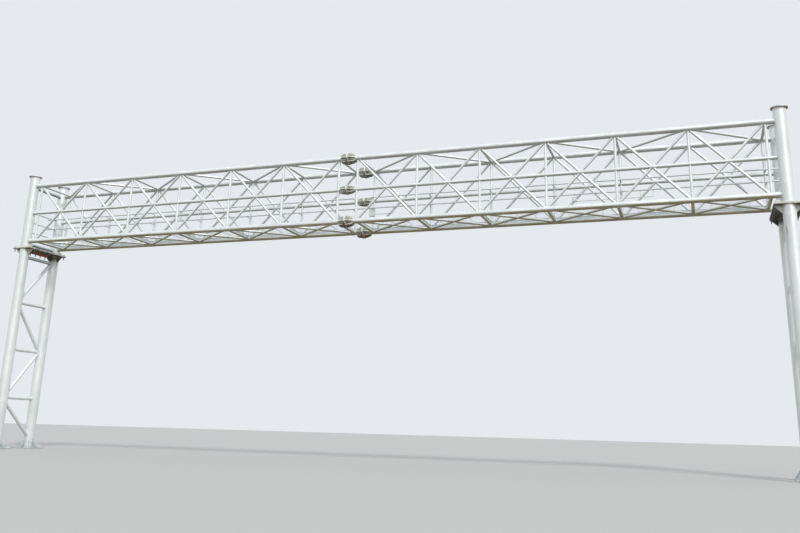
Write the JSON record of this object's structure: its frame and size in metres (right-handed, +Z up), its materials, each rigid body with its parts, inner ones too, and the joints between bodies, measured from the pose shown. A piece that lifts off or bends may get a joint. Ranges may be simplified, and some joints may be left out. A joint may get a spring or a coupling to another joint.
{
  "type": "overhead sign gantry",
  "caption": "Galvanised tubular portal gantry: braced towers of round columns carry a square lattice truss with a mesh walkway and handrails.",
  "frame": {"origin": "centre of the footprint on the ground, under mid-span", "axes": "+X along the truss to the right seen from the front, +Y to the rear, +Z up"},
  "size_m": [25.12, 2.15, 9.335],
  "materials": {
    "column_steel": "hot-dip galvanised, dulled, with faint runs of rust",
    "truss_steel": "hot-dip galvanised, dulled",
    "plate_steel": "hot-dip galvanised, stained round the welds",
    "grating_steel": "galvanised expanded mesh",
    "rail_steel": "galvanised",
    "rusted_steel": "bare steel, rusted brown"
  },
  "bodies": {
    "root": {"column_caps": "plate_steel", "column_ties": "truss_steel", "head_packing_blocks": "rusted_steel", "left_base_plates": "plate_steel", "left_floor_bracing": "truss_steel", "left_front_bottom_chord": "truss_steel", "left_front_lower_column": "column_steel", "left_front_mid_chord": "truss_steel", "left_front_top_chord": "truss_steel", "left_front_upper_column": "column_steel", "left_front_web": "truss_steel", "left_handrail": "rail_steel", "left_head_beams": "plate_steel", "left_head_flanges": "plate_steel", "left_rear_bottom_chord": "truss_steel", "left_rear_lower_column": "column_steel", "left_rear_mid_chord": "truss_steel", "left_rear_top_chord": "truss_steel", "left_rear_upper_column": "column_steel", "left_rear_web": "truss_steel", "left_splice_flanges": "plate_steel", "left_top_bracing": "truss_steel", "left_tower_bracing": "truss_steel", "left_walkway_deck": "grating_steel", "right_base_plates": "plate_steel", "right_floor_bracing": "truss_steel", "right_front_bottom_chord": "truss_steel", "right_front_lower_column": "column_steel", "right_front_mid_chord": "truss_steel", "right_front_top_chord": "truss_steel", "right_front_upper_column": "column_steel", "right_front_web": "truss_steel", "right_handrail": "rail_steel", "right_head_beams": "plate_steel", "right_head_flanges": "plate_steel", "right_rear_bottom_chord": "truss_steel", "right_rear_lower_column": "column_steel", "right_rear_mid_chord": "truss_steel", "right_rear_top_chord": "truss_steel", "right_rear_upper_column": "column_steel", "right_rear_web": "truss_steel", "right_splice_flanges": "plate_steel", "right_top_bracing": "truss_steel", "right_tower_bracing": "truss_steel", "right_walkway_deck": "grating_steel"}
  },
  "joints": []
}
